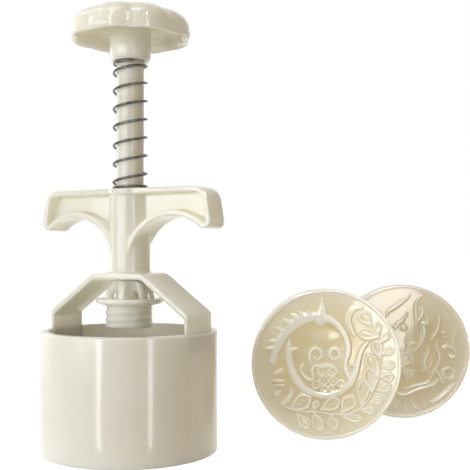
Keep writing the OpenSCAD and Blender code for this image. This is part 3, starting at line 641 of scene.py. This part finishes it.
def dragon_relief():
    """A dragon's head in profile, facing left, with a flowing mane, curls and flames."""
    r = Relief()
    r.swell(-6, 4, 60, 56, 0.28)
    r.swell(-28, 22, 30, 18, 0.2)
    for line in (
            # horns and mane
            [(-25, 53, 1.2), (-22, 61, 2.8), (-12.5, 66, 3), (-3, 73, 2.6), (4, 79, 2), (11, 86, 0.9)],
            [(-19, 64, 2), (-10, 72, 1.6), (-3, 79, 0.8)],
            [(28, 84, 0.8), (20, 75, 2.5), (19, 61, 3.2), (20, 48, 3), (18, 36, 1.2)],
            [(30, 64, 1.2), (29, 58, 2.6), (27, 52, 2.2), (21, 45, 1.4)],
            [(55, 54, 0.8), (54, 42, 2.1), (50, 30, 2.6), (42, 17, 1.2)],
            [(38, 52, 1.2), (37, 43, 2), (31, 40, 2.6), (32, 29, 3), (29, 16, 2.6), (22, 4, 1.2)],
            [(7, 29, 0.9), (4, 18, 1.9), (5, 6, 1.7), (2, -3, 2)],
            [(52, 16, 0.9), (50, 5, 2.5), (54, -6, 2.6), (52, -19, 2.6), (45, -30, 2.5), (39, -42, 1)],
            [(39, 7, 1.2), (36, -6, 3), (32, -16, 3.1), (33, -26, 2.2), (28, -31, 1)],
            [(48, -25, 1.4), (53, -35, 2.6), (60, -47, 1.2)],
            [(45, -10, 1), (41, -21, 2.3), (37, -32, 1.2)],
            [(77, 27, 0.8), (79, 16, 1.2), (78, 8, 0.8)],
            # brow, nose and beads
            [(-12, 34, 1.2), (-8, 42, 2.5), (0, 48, 2.6), (6, 58, 1.4)],
            [(-26, 33, 1), (-18, 38, 1.9), (-11, 36, 1.2)],
            [(-35, 30, 3.4), (-34.5, 24, 3.2), (-34, 18, 1.8)],
            # snout and jaws
            [(-62, 26, 0.8), (-56, 24, 1.7), (-52, 16, 2.4), (-50, 6, 3.2), (-53, 0, 1.6)],
            [(-58, 17, 1.1), (-59, 8, 2.2), (-58, 1, 1.4)],
            [(-55, -6, 2.8), (-58, -15, 2.4), (-54, -23, 1.9), (-46, -27, 1)],
            [(-53, -9, 2.4), (-43, -6, 2.2), (-35, -9, 2.3), (-27, -15, 1.2)],
            [(-18, -5, 1.2), (-8, 1, 3), (0, 4, 2)],
            [(-20, -17, 0.9), (-10, -10, 3), (-4, -7, 2)],
            [(-12, -25, 2.6), (-5, -23, 2.6), (2, -22, 1.8)],
            [(11, 1, 1.6), (15, -9, 2.3), (13, -20, 1.8)],
            [(-5, -30, 2), (-14, -33, 1.9), (-27, -34, 1)],
            [(1, -27, 2.6), (1.5, -34, 2.2), (2, -40, 0.9)], [(6, -27, 2.6), (6.5, -36, 2.4), (7, -45, 0.9)],
            [(11, -28, 2.6), (11.5, -35, 2.2), (12, -42, 0.9)], [(16, -29, 2.2), (15.6, -34, 1.8), (15, -39, 0.8)],
            [(-16, -58, 1), (-6, -64, 2.6), (5, -64, 2.7), (18, -58, 3.1), (32, -54, 3), (45, -50, 2.5),
             (53, -41, 0.9)],
            [(3, -57, 1), (16, -52, 2), (31, -49, 1.7), (40, -44, 0.9)],
            # flames along the lower edge
            [(-44, -37, 0.9), (-50, -45, 2.1), (-51, -56, 1.5), (-48, -63, 0.8)],
            [(-36, -41, 1), (-34, -51, 2.9), (-32, -61, 1.6)],
            [(-33, -63, 1.2), (-36, -72, 3), (-34, -80, 1.3)],
            [(-22, -57, 1.3), (-21, -66, 3.8), (-24, -74, 2.4), (-27, -80, 0.9)],
            [(-8, -76, 1), (-11, -83, 3.6), (-15, -87, 1.4)],
            [(3, -73, 1), (2, -80, 2.2), (3, -88, 3)],
            [(12, -76, 1), (16, -83, 3.6), (22, -86, 2.4)],
            [(29, -72, 0.9), (32, -79, 2.2), (32, -86, 2)],
            [(43, -77, 2.6), (55, -70, 4), (67, -60, 3.6), (77, -49, 1.4)],
            # curls on the right
            [(60, 2, 1.4), (63, 6, 2.2), (70, 7, 2.4), (77, 2, 2.4), (78, -6, 2), (71, -9, 1.4), (68, -4, 0.9)],
            [(67, -26, 3), (60, -29, 3.2), (61, -38, 2.7), (70, -41, 2.3), (77, -35, 1.8), (76, -28, 1)]):
        r.ridge(line)
    r.dab(0.6, 36, 6, 1.0, 1.4)
    r.ring(2.7, -11, 8, 2.1)
    r.ring(16, 7, 5.2, 1.5, 0.9)
    for x, y, w in ((-44.5, 34.5, 2.8), (-50, 49, 2.2), (-36, 58, 3), (-64, 38, 1.5), (-68, -5.5, 1.5),
                    (-80, -5, 1.5), (-32, -19, 3.4), (60.5, 26.5, 3.4), (64, 21, 2.4), (-15, 15, 1.4),
                    (-22, 12, 1.2)):
        r.dab(x, y, w, 0.9, 1.6)
    r.soften(1.0)
    return r


def stamp_mesh(relief):
    """Face towards +Z with its relief and rim, skirt, and behind it the socket and ribs."""
    around, field, rib_t = 640, FIELD_R - 0.4, 1.8
    a = angles(around)
    rows = []
    for r in np.linspace(0, field, 128):
        u = r / STAMP_R * 100
        fade = np.clip((field - r) / 1.2, 0, 1)
        rows.append(hoop(a, r, RELIEF * relief.at(u * np.cos(a), u * np.sin(a)) * fade ** 0.5))
    inner = STAMP_R - WALL_T
    rows += [hoop(a, r, z) for r, z in arc_corners([
        (FIELD_R - 0.3, 0, 0), (FIELD_R, 0.1, 0.2), (FIELD_R + 0.25, 1.3, 0.4), (STAMP_R, 1.3, 0.8),
        (STAMP_R, -STAMP_T, 0.5), (inner, -STAMP_T, 0.5), (inner, -PLATE_T, 0.8), (15, -PLATE_T, 0)], 5)]
    face = (np.concatenate(rows), grid_quads(len(rows), around))
    socket = revolve(arc_corners([
        (SOCKET_WALL_R, -2, 0.2), (SOCKET_WALL_R, -STAMP_T, 0.5), (STAMP_SOCKET_R, -STAMP_T, 0.5),
        (STAMP_SOCKET_R, -PLATE_T, 0.3), (0.0, -PLATE_T, 0)], 5), 160)
    rib = extrude(arc_corners([(14, -2.5, 0), (35.2, -2.5, 0), (35.2, -12.6, 0.4), (14, -12.6, 0.4)], 4,
                              closed=True), rib_t)
    return mesh_of([face, socket] + [turned(rib, 2 * math.pi / STAMP_RIBS * k) for k in range(STAMP_RIBS)])


def stand(mesh, right, back):
    """Stands a stamp on its edge, with its face towards the camera."""
    to_camera, to_right = Vector(TO_CAMERA), Vector(TO_RIGHT)
    turn = Matrix((to_right, Vector((0, 0, 1)), to_camera)).transposed().to_4x4()
    place = Matrix.Translation(to_right * right - to_camera * back + Vector((0, 0, STAMP_R)))
    mesh.transform(place @ turn)
    return mesh


def stamp_plastic(name, right, back):
    """Translucent plastic for a stamp at a place, with painted light: the low field gets a darker, yellower tone as
    painted shade, and the ridges and the ring near the rim keep the light plastic colour as painted highlight.
    """
    material = plastic(name, (0.9, 0.88, 0.82), (0.86, 0.83, 0.74), 0.14, 0.002, wave=0.0001)
    tree = material.node_tree
    shader = tree.nodes["Principled BSDF"]
    coords = node(tree, "TexCoord", {}).outputs["Object"]
    field = -back * MM
    height = node(tree, "VectorMath", {0: coords, 1: tuple(TO_CAMERA)}, "DOT_PRODUCT").outputs["Value"]
    middle = (*(right * MM * TO_RIGHT + field * TO_CAMERA)[:2], STAMP_R * MM)
    out = node(tree, "VectorMath", {0: coords, 1: middle}, "DISTANCE").outputs["Value"]
    # painted highlight: the raised relief and the ring near the rim get the lighter plastic colour
    painted_highlight = most(tree, spread(tree, height, 0, 1, field + 0.00003, field + 0.0012),
                spread(tree, out, 0, 1, 0.02, 0.04))
    # painted shade: the low field gets a darker, yellower tone
    painted_shade_tone = ramp(tree, noise(tree, 30, 3), 0.3, 0.7, (0.81, 0.735, 0.48), (0.72, 0.64, 0.39))
    cloudy = shader.inputs["Base Color"].links[0].from_socket
    feed(tree, shader, {"Base Color": blend(tree, painted_highlight, painted_shade_tone, cloudy)})
    return material


piece("carp_plate", stand(stamp_mesh(carp_relief()), *CARP_AT), "carp_stamp", "carp",
      stamp_plastic("carp_plastic", *CARP_AT), sharp=60)
piece("dragon_plate", stand(stamp_mesh(dragon_relief()), *DRAGON_AT), "dragon_stamp", "dragon",
      stamp_plastic("dragon_plastic", *DRAGON_AT), sharp=60)


# ---------- floor, light and camera ----------

COOL, WARM = (0.88, 0.95, 1.0), (0.30, 0.228, 0.13)
FLOOR_HALF, FLOOR_TONE, FLOOR_GLOW = 6, (0.86, 0.86, 0.86, 1), 0.8


def seen(tree):
    """1 on rays that show the surroundings: straight, in a reflection or through a piece."""
    path = node(tree, "LightPath", {}).outputs
    return most(tree, most(tree, path["Is Camera Ray"], path["Is Glossy Ray"]), path["Is Transmission Ray"])


def floor():
    """White floor that keeps the shadow and glows where it is seen."""
    mesh = bpy.data.meshes.new("floor")
    h = FLOOR_HALF
    mesh.from_pydata([(-h, -h, 0), (h, -h, 0), (h, h, 0), (-h, h, 0)], [], [(0, 1, 2, 3)])
    material, tree, shader = nodes_of("white_floor")
    feed(tree, shader, {"Base Color": FLOOR_TONE, "Roughness": 0.9})
    strength = node(tree, "Math", {0: seen(tree), 1: FLOOR_GLOW}, "MULTIPLY").outputs[0]
    glow = node(tree, "Emission", {"Strength": strength}).outputs[0]
    both = node(tree, "AddShader", {0: shader.outputs[0], 1: glow}).outputs[0]
    feed(tree, tree.nodes["Material Output"], {"Surface": both})
    mesh.materials.append(material)
    obj = add("floor", mesh)


def world():
    """Warm light all round the object, and pure white where the surroundings are seen."""
    made = bpy.data.worlds.new("studio")
    made.use_nodes = True
    tree = made.node_tree
    feed(tree, tree.nodes["Background"], {"Color": blend(tree, seen(tree), (*WARM, 1), (1, 1, 1, 1))})
    bpy.context.scene.world = made


def look(obj, at, target):
    """Puts a lamp or a camera at one point and turns it to another."""
    at = Vector(at)
    obj.location = at
    obj.rotation_euler = (Vector(target) - at).to_track_quat("-Z", "Y").to_euler()


def beside(right, front, up):
    """The point so far to the right of the press's axis, in front of it and up, as the camera sees it."""
    return right * TO_RIGHT + front * TO_CAMERA + np.array([0, 0, up])


def lamp(name, at, target, size, power, colour=(1, 1, 1), beam=180, gloss=False):
    """A soft box of a width and a height; one for gloss lights nothing and only shows in reflections."""
    light = bpy.data.lights.new(name, "AREA")
    light.shape, light.size, light.size_y = "RECTANGLE", *size
    light.energy, light.color, light.spread = power, colour, math.radians(beam)
    obj = add(name, light)
    look(obj, at, target)
    obj.visible_camera = False
    obj.visible_diffuse = not gloss


def round_press(name, turn, distance, up, size, power, colour=(1, 1, 1), gloss=False, aim=0.1):
    """A lamp that stands round the press, turned by so many degrees to the right of the camera's line."""
    t = math.radians(turn)
    lamp(name, beside(distance * math.sin(t), distance * math.cos(t), up), (0, 0, aim), size, power, colour,
         gloss=gloss)


floor()
world()
round_press("left_box", -46, 0.95, 0.12, (0.7, 0.6), 6.0, COOL)
round_press("back_box", -122, 0.8, 0.25, (0.5, 0.5), 1.1)
round_press("top_box", -30, 0.35, 1.1, (0.5, 0.5), 3.0, COOL)
round_press("high_glint", -100, 0.45, 0.75, (0.12, 0.08), 0.7, gloss=True)
# slim upright tubes close to the press, for the two streaks on the barrel
TUBE, TUBE_UP, TUBE_DISTANCE = (0.005, 0.25), 0.125, 0.07
round_press("left_glint", -20.1, TUBE_DISTANCE, TUBE_UP, TUBE, 0.038, gloss=True, aim=TUBE_UP)
round_press("right_glint", 25.2, TUBE_DISTANCE, TUBE_UP, TUBE, 0.036, gloss=True, aim=TUBE_UP)
# small boxes before the stamps, narrow enough to miss the press
STAMPS, NARROW = beside(0.14, -0.06, 0.037), 80
lamp("stamp_box", beside(0.16, 0.13, 0.12), STAMPS, (0.1, 0.1), 0.013, beam=NARROW)
lamp("stamp_top_glint", beside(0.11, 0.08, 0.16), STAMPS, (0.16, 0.05), 0.22, beam=NARROW, gloss=True)
lamp("stamp_side_glint", beside(0.155, 0.10, 0.05), STAMPS, (0.06, 0.09), 0.04, beam=NARROW, gloss=True)

camera = bpy.data.cameras.new("camera")
camera.lens, camera.sensor_width = 66.6, 36
view = add("camera", camera)
look(view, (0.2349, -0.3361, 0.0917), (0.04345, 0.02311, 0.09965))
bpy.context.scene.camera = view
bpy.context.scene.view_settings.view_transform = "Standard"
